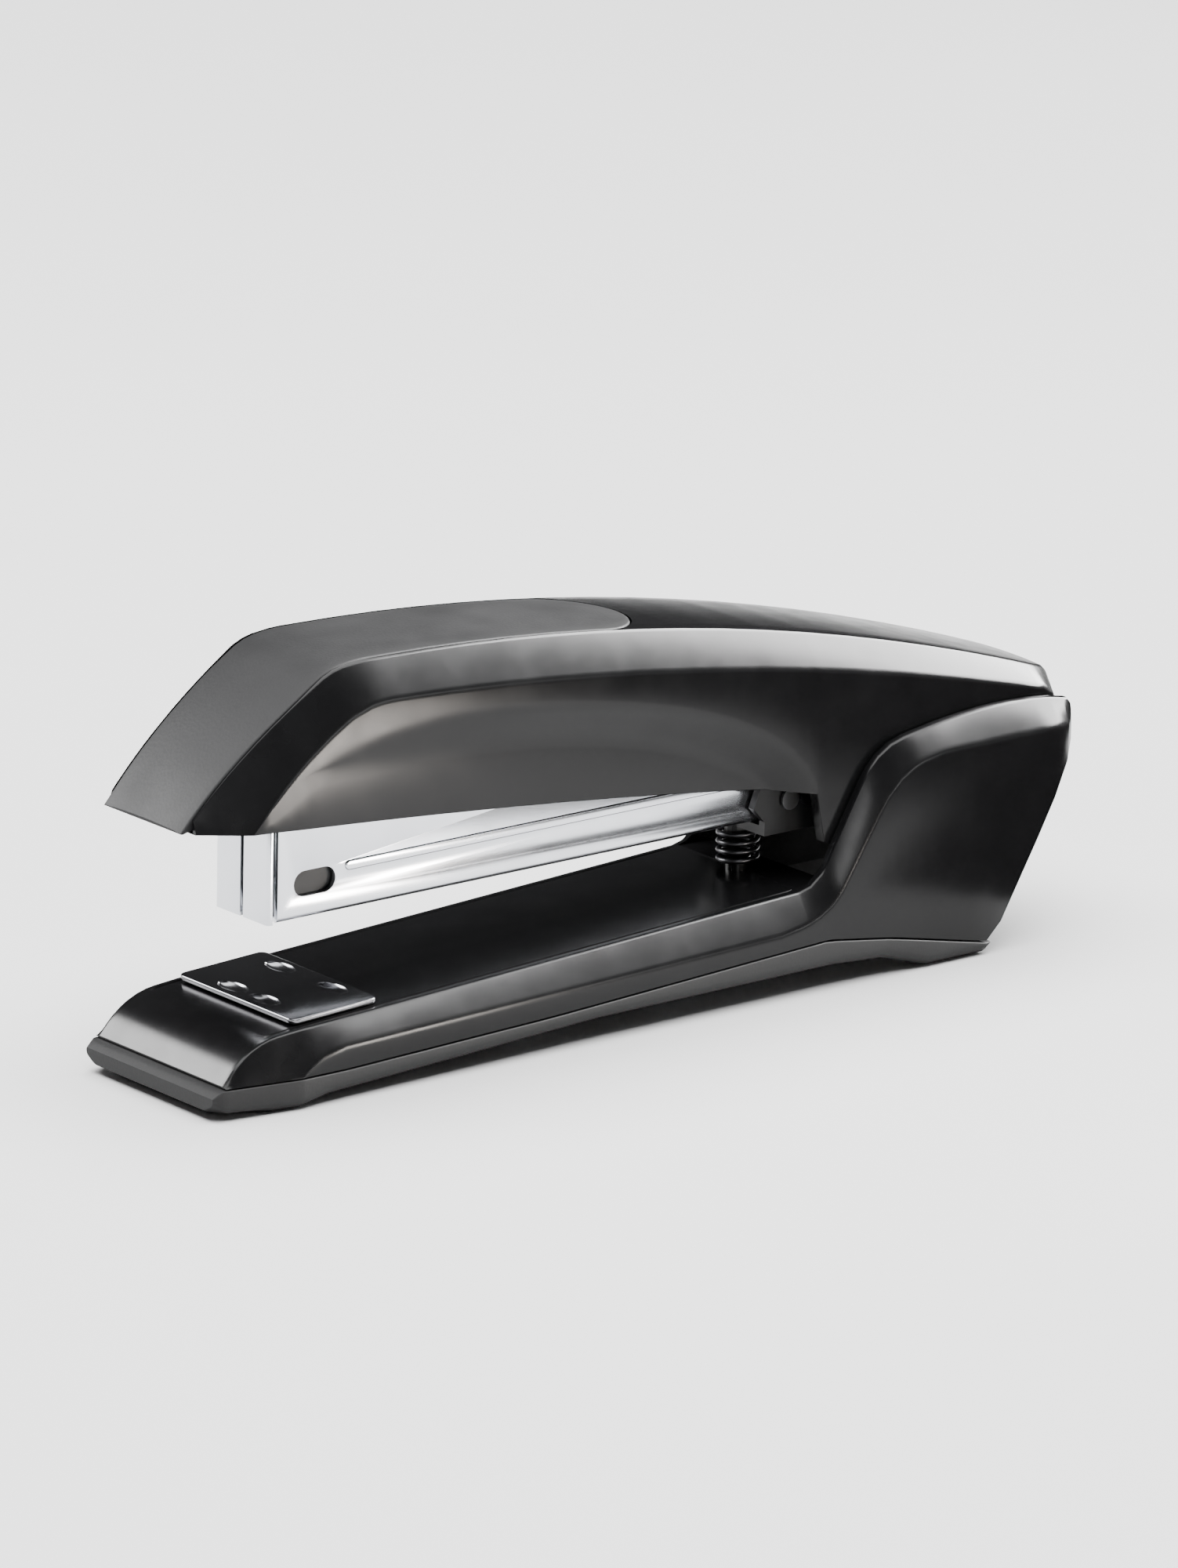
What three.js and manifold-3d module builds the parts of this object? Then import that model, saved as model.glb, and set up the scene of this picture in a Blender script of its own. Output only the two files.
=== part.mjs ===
// A full-strip desktop stapler, in millimetres.
// X runs from the nose (-) to the tail (+), Y across, Z up. The origin is on the table, under the middle.
import * as THREE from "three";
import { ConvexGeometry } from "three/addons/geometries/ConvexGeometry.js";
import { mergeVertices } from "three/addons/utils/BufferGeometryUtils.js";
import Module from "manifold-3d";

const wasm = await Module();
wasm.setup();

// ---------------------------------------------------------------- driving dimensions
const LENGTH = 196.6;
const END = LENGTH / 2;
const GAP = 0.3; // running clearance between neighbouring pieces

const HINGE = { x: 68, z: 26, pin: 2, hole: 2.3 };

const HANDLE = { side: 16.5, rearSide: 16.1, tailSide: 12.4, wall: 2.2, crown: 0.4 };
const GRIP = { depth: 2.2, straightTo: -8, half: 12.4 };
const SCOOP = { front: -75, rear: 38.3, deepest: 25, depth: 4.5, roof: 2 };

const BASE = { side: 21, edge: 17.8, wall: 2.2, seamGap: 0.3, cheekInside: 16.6 };
const WELL = { front: 42, floor: 10 };
const SLOPE = 0.045; // the base's top climbs this much for each millimetre towards the tail
const TOP_AT = { x: -77.5, z: 13.3 };
const topPlane = (x) => TOP_AT.z + SLOPE * (x - TOP_AT.x);

const CHANNEL = { front: -77, rear: 44, bottom: 28.8, top: 49.5, half: 7.4, sheet: 0.9 };
const RAIL = { front: -74.2, rear: 34, half: 5.3, bottom: 30, top: 35.6, sheet: 0.8 };
const ROD = { z: 39.2, radius: 1, front: -73.9, rear: 51 };
const PUSHER = { front: -74.1, rear: -61.5, half: 6.2, hubFront: -71.8 };
const BLADE = { x: -75, bottom: 36.9, top: 58, half: 6.1, sheet: 0.5, lean: 2.65 };
const ANVIL = { x: -68.9, long: 18.6, half: 16.4, sheet: 1, corner: 2.5, stem: 2.6 };
const BUTTON = { radius: 7, thick: 2, stemDown: 10.4 };
const RETURN_SPRING = { x: 34, outer: 4, wire: 0.5, turns: 4 };
const HANDLE_SPRING = { x: 12, outer: 4, wire: 0.55, turns: 5 };
const SOLE_SCREWS = [
  [-46, 12],
  [-46, -12],
  [16, 13],
  [16, -13],
];

// ---------------------------------------------------------------- materials
function finish(color, roughness, metalness) {
  return () => new THREE.MeshStandardMaterial({ color, roughness, metalness });
}
const glossBlack = finish(0x1b1b1d, 0.22, 0);
const softGrey = finish(0x3c3c40, 0.75, 0);
const soleGrey = finish(0x4a4a4c, 0.6, 0);
const mouldedBlack = finish(0x161617, 0.5, 0);
const brightSteel = finish(0xd9dadc, 0.25, 1);
const springSteel = finish(0xb5b7ba, 0.35, 1);

// ---------------------------------------------------------------- solids
function solid(geometry) {
  const bare = geometry.index ? geometry.toNonIndexed() : geometry.clone();
  bare.deleteAttribute("normal");
  bare.deleteAttribute("uv");
  const merged = mergeVertices(bare, 1e-4);
  return new wasm.Manifold(
    new wasm.Mesh({
      numProp: 3,
      vertProperties: merged.attributes.position.array,
      triVerts: new Uint32Array(merged.index.array),
    }),
  );
}

function join(...pieces) {
  return pieces.reduce((whole, piece) => whole.add(piece));
}

function cut(body, ...tools) {
  return tools.reduce((rest, tool) => rest.subtract(tool), body);
}

function geometryOf(body) {
  const made = body.getMesh();
  const geometry = new THREE.BufferGeometry();
  geometry.setAttribute("position", new THREE.BufferAttribute(made.vertProperties, 3));
  geometry.setIndex(new THREE.BufferAttribute(made.triVerts, 1));
  geometry.computeVertexNormals();
  return geometry;
}

function block([x0, x1], [y0, y1], [z0, z1]) {
  const box = new THREE.BoxGeometry(x1 - x0, y1 - y0, z1 - z0);
  return solid(box.translate((x0 + x1) / 2, (y0 + y1) / 2, (z0 + z1) / 2));
}

function outline(points) {
  return new THREE.Shape(points.map(([a, b]) => new THREE.Vector2(a, b)));
}

// The three ways that a flat outline is drawn out: along Y, Z or X.
const X = new THREE.Vector3(1, 0, 0);
const Y = new THREE.Vector3(0, 1, 0);
const Z = new THREE.Vector3(0, 0, 1);
const ALONG = {
  y: new THREE.Matrix4().makeBasis(X, Z, Y.clone().negate()),
  z: new THREE.Matrix4(),
  x: new THREE.Matrix4().makeBasis(Y, Z, X),
};

function prism(shape, axis, low, high) {
  const drawn = new THREE.ExtrudeGeometry(shape, {
    depth: high - low,
    bevelEnabled: false,
    curveSegments: 8,
  });
  drawn.translate(0, 0, axis === "y" ? -high : low);
  return solid(drawn.applyMatrix4(ALONG[axis]));
}

function rod(axis, radius, low, high, at, sides = 20) {
  const cylinder = new THREE.CylinderGeometry(radius, radius, high - low, sides);
  cylinder.translate(0, (low + high) / 2, 0);
  if (axis === "x") cylinder.rotateZ(-Math.PI / 2);
  if (axis === "z") cylinder.rotateX(Math.PI / 2);
  return solid(cylinder.translate(...at));
}

function coil(outer, wire, turns, low, high) {
  class Helix extends THREE.Curve {
    getPoint(t, target = new THREE.Vector3()) {
      const turn = 2 * Math.PI * turns * t;
      const radius = outer - wire;
      const z = THREE.MathUtils.lerp(low + wire, high - wire, t);
      return target.set(radius * Math.cos(turn), radius * Math.sin(turn), z);
    }
  }
  const section = new THREE.Shape().absarc(0, 0, wire, 0, 2 * Math.PI);
  return new THREE.ExtrudeGeometry(section, {
    extrudePath: new Helix(),
    steps: turns * 10,
    bevelEnabled: false,
    curveSegments: 3,
  });
}

// A side-view line drawn with a path, read as a height at any X.
function heights(draw) {
  const points = draw(new THREE.Path()).getPoints(12);
  return (x) => {
    const after = points.findIndex((point) => point.x >= x);
    if (after === 0) return points[0].y;
    if (after < 0) return points[points.length - 1].y;
    const [a, b] = [points[after - 1], points[after]];
    return THREE.MathUtils.lerp(a.y, b.y, (x - a.x) / (b.x - a.x));
  };
}

function lines(...points) {
  return heights((path) => {
    path.moveTo(...points[0]);
    points.slice(1).forEach((point) => path.lineTo(...point));
    return path;
  });
}

// Joins cross-sections, each a convex ring of [y, z] corners at its own X, into one body.
function skin(stations, ringAt) {
  const rings = stations.map((x) => ringAt(x).map(([y, z]) => new THREE.Vector3(x, y, z)));
  const lengths = rings.slice(1).map((ring, i) => solid(new ConvexGeometry([...rings[i], ...ring])));
  return join(...lengths);
}

function mirrored(half) {
  return half.flatMap(([y, z]) => [[y, z], [-y, z]]);
}

function part(name, body, material) {
  const geometry = body.isBufferGeometry ? body : geometryOf(body);
  const mesh = new THREE.Mesh(geometry, material());
  mesh.name = name;
  return mesh;
}

// ---------------------------------------------------------------- handle
const handleTop = heights((path) =>
  path
    .moveTo(-END, 49.7)
    .quadraticCurveTo(-88, 62, -70, 73)
    .quadraticCurveTo(-66.5, 75.1, -58, 74.8)
    .quadraticCurveTo(18, 74, 95.4, 48.4)
    .quadraticCurveTo(97.8, 47.4, END, 42),
);
const handleSideTop = heights((path) =>
  path
    .moveTo(-87.1, 49)
    .quadraticCurveTo(-78.5, 59.5, -66, 66.4)
    .quadraticCurveTo(-62.8, 68.3, -56, 68.1)
    .quadraticCurveTo(16, 65.5, 93, 45.9)
    .lineTo(END, 41),
);
const handleLow = heights((path) =>
  path.moveTo(-END, 49.6).quadraticCurveTo(-30, 45.2, 38.5, 35).lineTo(40.4, 25.8).lineTo(60, 18.7)
    .lineTo(76, 18.7).lineTo(END, 36.8),
);
const handleEdge = lines([-END, 11.3], [-70, 12.9], [60, 12.7], [92, 12], [END, 10]);
const handleSide = lines(
  [-END, 11.4], [-87.1, HANDLE.side], [36, HANDLE.side], [38.5, HANDLE.rearSide], [90, HANDLE.rearSide],
  [95, 15], [END, HANDLE.tailSide],
);
const HANDLE_STATIONS = [
  -98.3, -94, -89, -87.1, -82, -76, -70, -67, -62, -58, -45, -30, -12, 6, 24, 36, 38.5, 40.4, 50, 60, 76, 86,
  92, 95.4, 97.4, 98.3,
];

function handleRing(x) {
  const top = handleTop(x);
  const low = handleLow(x);
  const sideTop = Math.max(handleSideTop(x), low);
  return mirrored([
    [handleSide(x), Math.min(low, top)],
    [handleSide(x), Math.min(sideTop, top)],
    [handleEdge(x), top],
    [handleEdge(x) / 2, top + HANDLE.crown],
  ]);
}

function handleHollowRing(x) {
  const roof = handleTop(x) - (x < 8 ? 4.6 : HANDLE.wall + 0.3);
  const wide = handleSide(x) - HANDLE.wall;
  const shoulder = Math.min(handleSideTop(x) - 1.2, roof);
  return mirrored([
    [wide, 10],
    [wide, shoulder],
    [handleEdge(x) - 1.4, roof],
  ]);
}

// The thumb scoop's upper rim, the inner edge of its slope, and how deep its floor lies.
const scoopRim = heights((path) =>
  path.moveTo(SCOOP.front, 58).quadraticCurveTo(-58, 64, -36, 62.5).quadraticCurveTo(27, 56, SCOOP.rear, 36.6),
);
const scoopFloorTop = heights((path) =>
  path.moveTo(SCOOP.front, 57.5).quadraticCurveTo(-45, 58, -20, 54.7).quadraticCurveTo(18, 49, 31.3, 35.6)
    .lineTo(SCOOP.rear, 34),
);
const scoopDepth = lines([SCOOP.front, 0], [SCOOP.deepest, SCOOP.depth], [31.3, 4], [SCOOP.rear, 0]);
const SCOOP_STATIONS = [-75, -60, -48, -36, -20, -4, 10, 20, 27, 31.3, 35, 38.3];

function scoop(side, inset) {
  const low = 20;
  const outside = HANDLE.side + 1;
  return skin(SCOOP_STATIONS, (x) => {
    const floor = HANDLE.side - scoopDepth(x) - inset;
    return [
      [side * outside, scoopRim(x) + inset],
      [side * (HANDLE.side - inset / 2), scoopRim(x) + inset],
      [side * floor, scoopFloorTop(x) + inset],
      [side * floor, low],
      [side * outside, low],
    ];
  });
}

function gripOutline(grow) {
  const half = GRIP.half + grow;
  const shape = new THREE.Shape();
  shape.moveTo(-END - 1, -half);
  shape.lineTo(GRIP.straightTo, -half);
  shape.absarc(GRIP.straightTo, 0, half, -Math.PI / 2, Math.PI / 2);
  shape.lineTo(-END - 1, half);
  return shape;
}

function aboveHandleTop(depth) {
  const stations = HANDLE_STATIONS.filter((x) => x < 24).concat(24);
  const wide = HANDLE.side + 1;
  return skin(stations, (x) => mirrored([[wide, handleTop(x) - depth], [wide, handleTop(x) + 8]]));
}

function makeHandleShell() {
  const outer = skin(HANDLE_STATIONS, handleRing);
  const hollowStations = HANDLE_STATIONS.filter((x) => x > -93 && x < 95.3).concat(95.6);
  let hollow = skin([-90, ...hollowStations.filter((x) => x > -90)], handleHollowRing);
  const gripSeat = prism(gripOutline(0.15), "z", 40, 90).intersect(aboveHandleTop(GRIP.depth + GAP));
  let shell = cut(outer, gripSeat);
  for (const side of [-1, 1]) {
    shell = cut(shell, scoop(side, 0));
    hollow = cut(hollow, scoop(side, SCOOP.roof));
  }
  shell = cut(shell, hollow);
  for (const side of [-1, 1]) {
    const [near, far] = [12.3, 14.6].map((y) => y * side).sort((a, b) => a - b);
    shell = join(shell, rod("y", 6, near, far, [HINGE.x, 0, HINGE.z], 24));
  }
  for (const x of DRIVER_SCREW_X) {
    shell = join(shell, rod("z", 3.2, 60.6 + GAP, handleTop(x) - 4, [x, 0, 0], 16));
    shell = cut(shell, rod("z", 1.5, 58, 66.5, [x, 0, 0], 12));
  }
  shell = join(shell, rod("z", 2.4, 61.5, handleTop(HANDLE_SPRING.x) - 2, [HANDLE_SPRING.x, 0, 0], 16));
  return cut(shell, rod("y", HINGE.hole, -20, 20, [HINGE.x, 0, HINGE.z]));
}

function makeGripPad() {
  const outer = skin(HANDLE_STATIONS.filter((x) => x <= 24), handleRing);
  return outer.intersect(prism(gripOutline(-0.15), "z", 40, 90)).intersect(aboveHandleTop(GRIP.depth));
}

// ---------------------------------------------------------------- driver
const DRIVER_SCREW_X = [-67, -57];

function makeDriverBlade() {
  const tall = BLADE.top - BLADE.bottom;
  const blade = block([-BLADE.sheet / 2, BLADE.sheet / 2], [-BLADE.half, BLADE.half], [0, tall]);
  const mesh = part("driver_blade", blade, springSteel);
  mesh.position.set(BLADE.x, 0, BLADE.bottom);
  mesh.rotation.y = THREE.MathUtils.degToRad(BLADE.lean);
  return mesh;
}

// A bent strip: its upright carries the blade, and its flat is screwed under the handle's roof.
function makeDriverArm() {
  const side = outline([
    [-73.1, 52], [-72.1, 52], [-71.6, 59.4], [-52, 59.4], [-52, 60.6], [-73.1, 60.6],
  ]);
  let arm = prism(side, "y", -5.4, 5.4);
  for (const x of DRIVER_SCREW_X) arm = cut(arm, rod("z", 1.6, 58, 62, [x, 0, 0], 12));
  return arm;
}

function screwUp(headRadius, shankRadius, headTall, length) {
  const head = rod("z", headRadius, 0, headTall, [0, 0, 0], 14);
  return join(head, rod("z", shankRadius, headTall / 2, length, [0, 0, 0], 10));
}

// ---------------------------------------------------------------- base
const baseTop = heights((path) =>
  path
    .moveTo(-94, 5.7)
    .quadraticCurveTo(-89.8, 12.1, -82.5, 12.9)
    .lineTo(TOP_AT.x, TOP_AT.z)
    .lineTo(33.5, topPlane(33.5))
    .quadraticCurveTo(38.4, 18.6, 41, 25)
    .lineTo(47.4, 36)
    .quadraticCurveTo(51, 42, 57, 43)
    .quadraticCurveTo(76, 46.6, 91, 44.8)
    .lineTo(95.6, 44)
    .lineTo(END, 41),
);
const baseSideTop = heights((path) =>
  path
    .moveTo(-79.2, 5.6)
    .quadraticCurveTo(-75.5, 9.5, -70, 9.7)
    .lineTo(27, 11.9)
    .quadraticCurveTo(37, 13, 41, 18)
    .lineTo(49, 30.5)
    .quadraticCurveTo(54, 39.3, 64, 39.9)
    .lineTo(91, 40)
    .lineTo(END, 38.6),
);
const seam = lines([-97, 5.6], [-70, 5.4], [-25, 6.5], [38, 9.2], [53, 7], [75, 2.4], [80, 2]);
const soleLow = lines([-97, 0], [-79, 0], [-73, 1.2], [-14, 3.8], [40, 3.9], [52, 3.1], [62, 0], [80, 0]);
const heelRear = lines([75.4, 0], [87, 18], [97.4, 36.8], [END, 39]);
const baseSide = lines([-94, 18.6], [-79.2, BASE.side], [90, BASE.side], [94.5, 19.8], [97.4, 17.6], [END, 15]);
const BASE_STATIONS = [
  -94, -92, -89.5, -86, -82.5, -79.2, -75, -70, -40, 0, 27, 33.5, 36, 38.5, 41, 44, 47.4, 49, 51, 54, 57, 64,
  75.4, 82, 87, 91, 94.5, 96.5, 97.6, 98.3,
];

function baseRing(x) {
  const low = Math.max(seam(x) + BASE.seamGap / 2, x > 76 ? heelRear(x) : 0);
  const top = Math.max(baseTop(x), low);
  const sideTop = Math.max(x < -79.2 ? low : baseSideTop(x), low);
  return mirrored([
    [baseSide(x), low],
    [baseSide(x), Math.min(sideTop, top)],
    [Math.min(BASE.edge, baseSide(x) - 0.2), top],
  ]);
}

function baseHollowRing(x) {
  const roof = Math.min(baseTop(x) - BASE.wall, WELL.floor - BASE.wall + (x < WELL.front - 2.2 ? 9 : 0));
  const shoulder = Math.min(baseSideTop(x) - BASE.wall + 0.4, roof);
  return mirrored([
    [baseSide(x) - BASE.wall, -5],
    [baseSide(x) - BASE.wall, shoulder],
    [BASE.edge - BASE.wall, roof],
  ]);
}

// Where the anvil's stem and the button's spring go through the base's top.
function inAnvilFrame(body) {
  const place = new THREE.Matrix4().makeRotationY(-Math.atan(SLOPE));
  place.setPosition(ANVIL.x, 0, topPlane(ANVIL.x));
  return solid(geometryOf(body).applyMatrix4(place));
}

function makeBaseShell() {
  let shell = skin(BASE_STATIONS, baseRing);
  const hollowStations = [-89, -86, -82.5, -76, -70, -40, 0, 27, 33.5, 36, 39.7, 39.9, 57, 64, 74];
  const hollow = skin(hollowStations, baseHollowRing);
  const between = BASE.cheekInside;
  const well = outline([
    [36, topPlane(33.5)], [WELL.front, topPlane(33.5)], [WELL.front + 3, WELL.floor], [110, WELL.floor], [110, 60],
    [36, 60],
  ]);
  shell = cut(shell, hollow, prism(well, "y", -between, between));
  for (const [x, y] of SOLE_SCREWS) {
    shell = join(shell, rod("z", 3, 6.4, topPlane(x) - 1, [x, y, 0], 14));
    shell = cut(shell, rod("z", 1.5, 0, 12.6, [x, y, 0], 12));
  }
  shell = join(shell, rod("z", 2.4, topPlane(33.5) - 1, 20.8, [RETURN_SPRING.x, 0, 0], 16));
  shell = cut(shell, inAnvilFrame(rod("z", ANVIL.stem + GAP, -6, 2, [0, 0, 0])));
  return cut(shell, rod("y", HINGE.hole, -19.9, 19.9, [HINGE.x, 0, HINGE.z]));
}

const soleSide = lines([-94.5, 18.6], [-79.2, BASE.side], [76.9, BASE.side]);
const SOLE_STATIONS = [-94.5, -92, -79.2, -73, -40, -14, 20, 38, 46, 53, 62, 75.4];

function soleRing(x) {
  const top = seam(x) - BASE.seamGap / 2;
  return mirrored([
    [soleSide(x) - 1.6, soleLow(x)],
    [soleSide(x), soleLow(x) + 1.4],
    [soleSide(x), top],
  ]);
}

function makeSole() {
  const nose = new ConvexGeometry(
    [
      ...soleRing(-94.5).map(([y, z]) => [-94.5, y, z]),
      ...mirrored([[15.6, 1.7], [18, 4.2]]).map(([y, z]) => [-96.4, y, z]),
    ].map((corner) => new THREE.Vector3(...corner)),
  );
  const heel = new ConvexGeometry(
    [
      ...soleRing(75.4).map(([y, z]) => [75.4, y, z]),
      ...mirrored([[20.6, 2.1]]).map(([y, z]) => [76.7, y, z]),
    ].map((corner) => new THREE.Vector3(...corner)),
  );
  const floor = 2;
  const hollow = skin([-90, -79.2, -73, -40, -14, 20, 38, 46, 53, 62, 72], (x) =>
    mirrored([
      [soleSide(x) - BASE.wall - 1.2, soleLow(x) + floor],
      [soleSide(x) - BASE.wall, 14],
    ]),
  );
  let sole = cut(join(skin(SOLE_STATIONS, soleRing), solid(nose), solid(heel)), hollow);
  sole = cut(sole, rod("z", BUTTON.radius + 1, -2, 5, [ANVIL.x + 0.5, 0, 0], 28));
  for (const [x, y] of SOLE_SCREWS) {
    sole = join(sole, rod("z", 3.8, soleLow(x) + 0.3, 6.1, [x, y, 0], 16));
    sole = cut(sole, rod("z", 1.6, -2, 10, [x, y, 0], 12), rod("z", 2.9, -2, soleLow(x) + 1.4, [x, y, 0], 14));
  }
  return sole;
}

// ---------------------------------------------------------------- anvil, in the frame of the base's top
function crimp(x, y, long, wide) {
  const half = long / 2 - wide / 2;
  const shape = new THREE.Shape();
  shape.absarc(half, 0, wide / 2, -Math.PI / 2, Math.PI / 2);
  shape.absarc(-half, 0, wide / 2, Math.PI / 2, (3 * Math.PI) / 2);
  const pocket = new THREE.ExtrudeGeometry(shape, { depth: 1, bevelEnabled: false, curveSegments: 6 });
  pocket.rotateZ(Math.PI / 2);
  return solid(pocket.translate(x, y, GAP + ANVIL.sheet - 0.5));
}

function makeAnvilPlate() {
  const half = ANVIL.long / 2;
  const c = ANVIL.corner;
  const wide = ANVIL.half;
  const shape = new THREE.Shape();
  shape.moveTo(-half + c, -wide);
  shape.lineTo(half - c, -wide);
  shape.quadraticCurveTo(half, -wide, half, -wide + c);
  shape.lineTo(half, wide - c);
  shape.quadraticCurveTo(half, wide, half - c, wide);
  shape.lineTo(-half + c, wide);
  shape.quadraticCurveTo(-half, wide, -half, wide - c);
  shape.lineTo(-half, -wide + c);
  shape.quadraticCurveTo(-half, -wide, -half + c, -wide);
  let plate = prism(shape, "z", GAP, GAP + ANVIL.sheet);
  const reach = half - 3.1;
  for (const side of [-1, 1]) {
    plate = cut(plate, crimp(-reach, side * 4.5, 6.6, 2.3), crimp(reach, side * 7.4, 6.6, 2.3));
  }
  const stem = rod("z", ANVIL.stem, -BUTTON.stemDown, GAP + ANVIL.sheet / 2, [0, 0, 0]);
  const groove = cut(rod("z", 4, -9.9, -9.3, [0, 0, 0]), rod("z", 1.9, -10, -9.2, [0, 0, 0]));
  return cut(join(plate, stem), groove);
}

function makeAnvilButton() {
  const disc = rod("z", BUTTON.radius, -9, -9 + BUTTON.thick, [0, 0, 0], 28);
  const hub = rod("z", 3.9, -8, -5.6, [0, 0, 0], 20);
  return cut(join(disc, hub), rod("z", ANVIL.stem + GAP, -12, 0, [0, 0, 0]));
}

function makeAnvilClip() {
  const ring = cut(rod("z", 4.2, -9.8, -9.4, [0, 0, 0], 20), rod("z", 2.2, -11, -8, [0, 0, 0], 16));
  return cut(ring, block([0, 6], [-1.2, 1.2], [-11, -8]));
}

// ---------------------------------------------------------------- staple channel
function channelSection(half, bottom, top, sheet) {
  return outline([
    [-half, bottom], [half, bottom], [half, top], [half - sheet, top], [half - sheet, bottom + sheet],
    [-half + sheet, bottom + sheet], [-half + sheet, top], [-half, top],
  ]);
}

function makeChannel() {
  const { front, rear, bottom, top, half, sheet } = CHANNEL;
  let channel = prism(channelSection(half, bottom, top, sheet), "x", front, rear);
  channel = join(channel, block([front, front + sheet], [-half, half], [bottom, top]));
  channel = cut(channel, block([front - 1, front + 1.5], [-0.45, 0.45], [bottom - 1, top + 1]));
  channel = cut(channel, block([front + sheet, front + 2.6], [-half + sheet, half - sheet], [20, 32]));
  const slot = new THREE.Shape();
  slot.absarc(2.2, 0, 2.3, -Math.PI / 2, Math.PI / 2);
  slot.absarc(-2.2, 0, 2.3, Math.PI / 2, (3 * Math.PI) / 2);
  const opening = new THREE.ExtrudeGeometry(slot, { depth: 20, bevelEnabled: false, curveSegments: 6 });
  opening.translate(-67, 35.1, -10).applyMatrix4(ALONG.y);
  channel = cut(channel, solid(opening));
  for (const side of [-1, 1]) {
    const bead = outline([[7.2, 35.9], [7.2, 37.7], [7.75, 37.2], [7.75, 36.4]].map(([y, z]) => [side * y, z]));
    channel = join(channel, prism(bead, "x", -60.5, 26));
  }
  for (const x of RIVET_X) channel = cut(channel, rod("y", 1.5, -9, 9, [x, 0, 32.8], 14));
  return channel;
}

function makeRail() {
  const { front, rear, half, bottom, top, sheet } = RAIL;
  const section = outline([
    [-half, bottom], [-half + sheet, bottom], [-half + sheet, top - sheet], [half - sheet, top - sheet],
    [half - sheet, bottom], [half, bottom], [half, top], [-half, top],
  ]);
  return prism(section, "x", front, rear);
}

// A saddle over the rail, with a hub above it that slides on the rod.
function makePusher() {
  const { front, rear, half, hubFront } = PUSHER;
  const inner = RAIL.half + GAP;
  const floor = RAIL.top + GAP;
  const legs = 30.3;
  const saddle = outline([
    [-half, legs], [-inner, legs], [-inner, floor], [inner, floor], [inner, legs], [half, legs], [half, 37],
    [-half, 37],
  ]);
  const hub = outline([[-3.4, 36.5], [3.4, 36.5], [2.6, 41.6], [-2.6, 41.6]]);
  const body = join(prism(saddle, "x", front, rear), prism(hub, "x", hubFront, rear));
  return cut(body, rod("x", ROD.radius + GAP, front - 5, rear + 5, [0, 0, ROD.z], 14));
}

// A cross plate between the channel's walls that holds the rod's front end above the staples.
function makeRodClip() {
  const half = CHANNEL.half - CHANNEL.sheet - GAP;
  const plate = block([-73.5, -72.7], [-half, half], [37.4, 42.4]);
  return cut(plate, rod("x", ROD.radius + GAP, -80, -70, [0, 0, ROD.z], 14));
}

const RIVET_X = [37.5, 42];

// ---------------------------------------------------------------- the plastic carrier behind the channel
function makeCarrier() {
  const arm = outline([[29.6, 32], [34.4, 44.2], [60, 44.2], [60, 26.6], [32.2, 26.6], [32.2, 29.2]]);
  const side = CHANNEL.half + 0.4;
  let carrier = join(prism(arm, "y", side, side + 1.5), prism(arm, "y", -side - 1.5, -side));
  carrier = join(carrier, block([46, 60], [-side - 0.5, side + 0.5], [26.6, 44.2]));
  carrier = join(carrier, block([32.2, 47], [-side - 0.5, side + 0.5], [26.6, 28.3]));
  const knuckle = rod("y", 6.5, -11.9, 11.9, [HINGE.x, 0, HINGE.z], 24);
  const web = outline([[58, 26.6], [68, 19.6], [72, 31], [60, 40]]);
  carrier = join(carrier, knuckle, prism(web, "y", -side - 1.5, side + 1.5));
  const tongue = outline([[4, 50], [46, 50], [46, 43], [58, 43], [55, 51.7], [4, 51.7]]);
  carrier = join(carrier, prism(tongue, "y", -7.2, 7.2));
  carrier = join(carrier, rod("z", 2.5, 24.6, 27, [RETURN_SPRING.x, 0, 0], 16));
  carrier = join(carrier, rod("z", 2.4, 51, 53.5, [HANDLE_SPRING.x, 0, 0], 16));
  carrier = cut(carrier, rod("x", ROD.radius + GAP, 40, ROD.rear + GAP, [0, 0, ROD.z], 14));
  for (const x of RIVET_X) carrier = cut(carrier, rod("y", 1.5, -12, 12, [x, 0, 32.8], 14));
  return cut(carrier, rod("y", HINGE.hole, -20, 20, [HINGE.x, 0, HINGE.z]));
}

function makeRivet(x) {
  const reach = CHANNEL.half + 0.4 + 1.5;
  const shank = rod("y", 1.2, -reach - 0.5, reach + 0.5, [x, 0, 32.8], 12);
  const heads = [-1, 1].map((side) => {
    const [low, high] = [reach + GAP, reach + GAP + 0.5].map((y) => y * side).sort((a, b) => a - b);
    return rod("y", 2, low, high, [x, 0, 32.8], 14);
  });
  return join(shank, ...heads);
}

// ---------------------------------------------------------------- assembly
const stapler = new THREE.Group();

stapler.add(
  part("base_shell", makeBaseShell(), glossBlack),
  part("sole_pad", makeSole(), soleGrey),
  part("hinge_pin", rod("y", HINGE.pin, -19.6, 19.6, [HINGE.x, 0, HINGE.z]), springSteel),
);
SOLE_SCREWS.forEach(([x, y], i) => {
  const screw = part(`sole_screw_${i + 1}`, screwUp(2.5, 1.1, 1, 8), springSteel);
  screw.position.set(x, y, soleLow(x) + 0.1);
  stapler.add(screw);
});
const returnSpring = coil(RETURN_SPRING.outer, RETURN_SPRING.wire, RETURN_SPRING.turns, 0, 7.4);
const returnMesh = part("return_spring", returnSpring, springSteel);
returnMesh.position.set(RETURN_SPRING.x, 0, 18.9);
stapler.add(returnMesh);

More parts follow.
